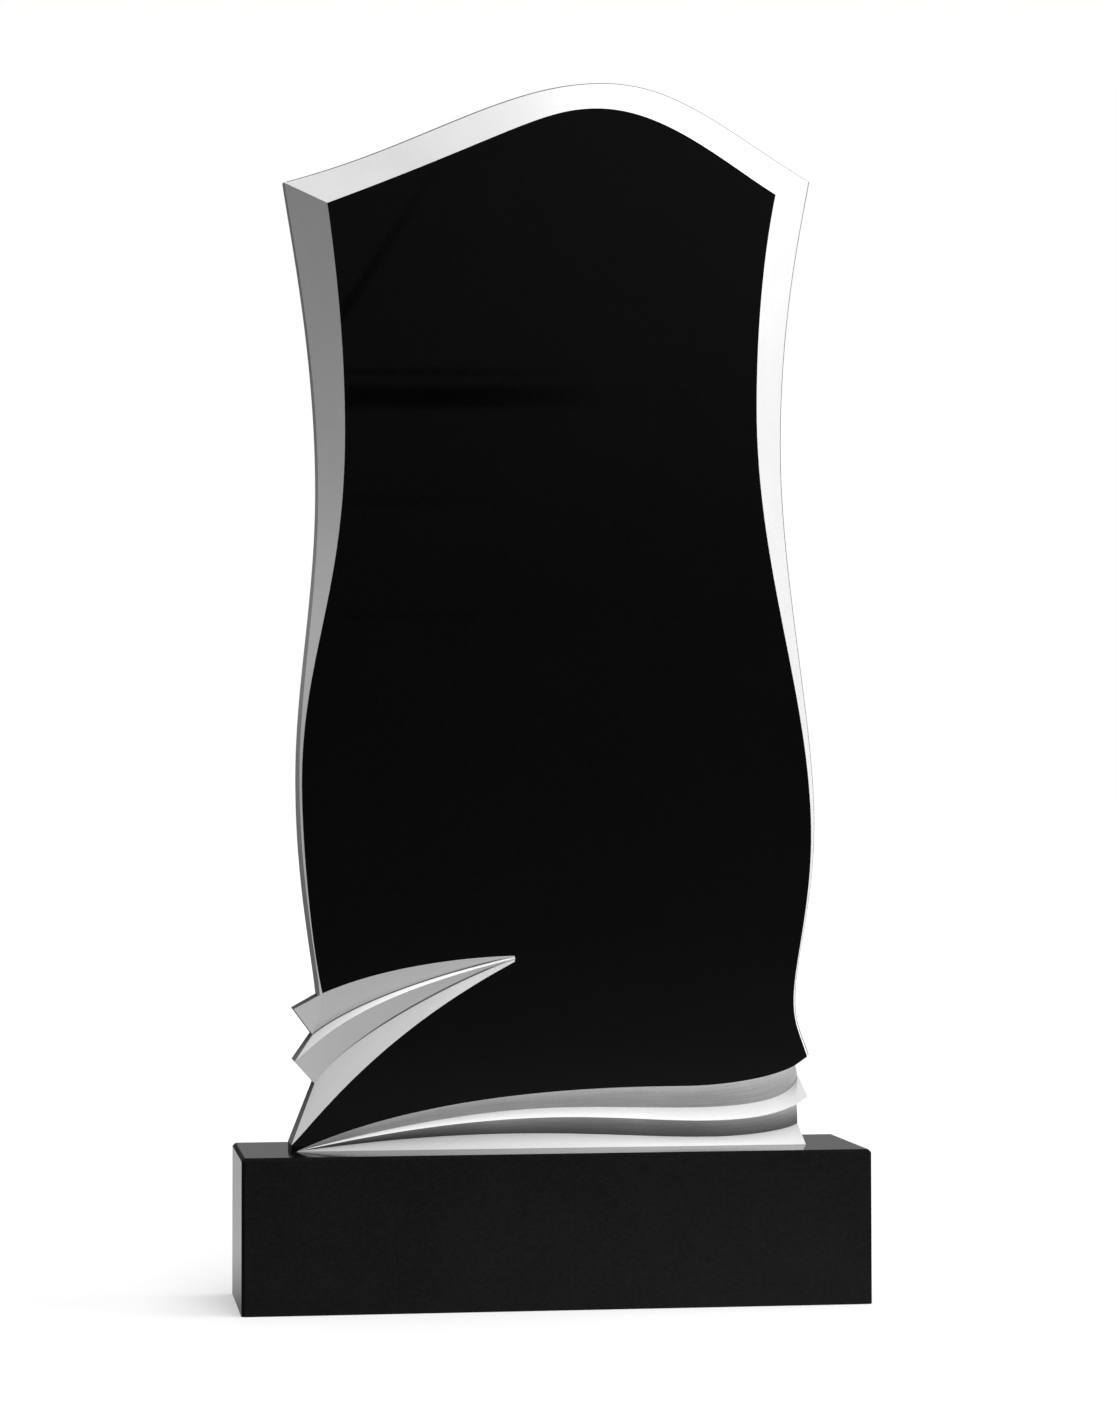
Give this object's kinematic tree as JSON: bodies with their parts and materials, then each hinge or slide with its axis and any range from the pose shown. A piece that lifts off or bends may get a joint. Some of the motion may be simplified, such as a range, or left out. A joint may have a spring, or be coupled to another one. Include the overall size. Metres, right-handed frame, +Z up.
{
  "type": "headstone",
  "caption": "Upright black granite headstone with a bevelled, waisted slab, carved pleats at one side and ribbons along its foot, on a plain polished plinth.",
  "frame": {"origin": "centre of the plinth's underside, on the ground that the headstone stands on", "axes": "+X to the viewer's right, -Y out of the polished front face, +Z up"},
  "size_m": [0.6, 0.17, 1.1828],
  "materials": {
    "carved_granite": "black granite, polished face with milled grey bevels and carving",
    "polished_granite": "black granite, polished all round"
  },
  "bodies": {
    "root": {"headstone_slab": "carved_granite", "plinth": "polished_granite"}
  },
  "joints": []
}
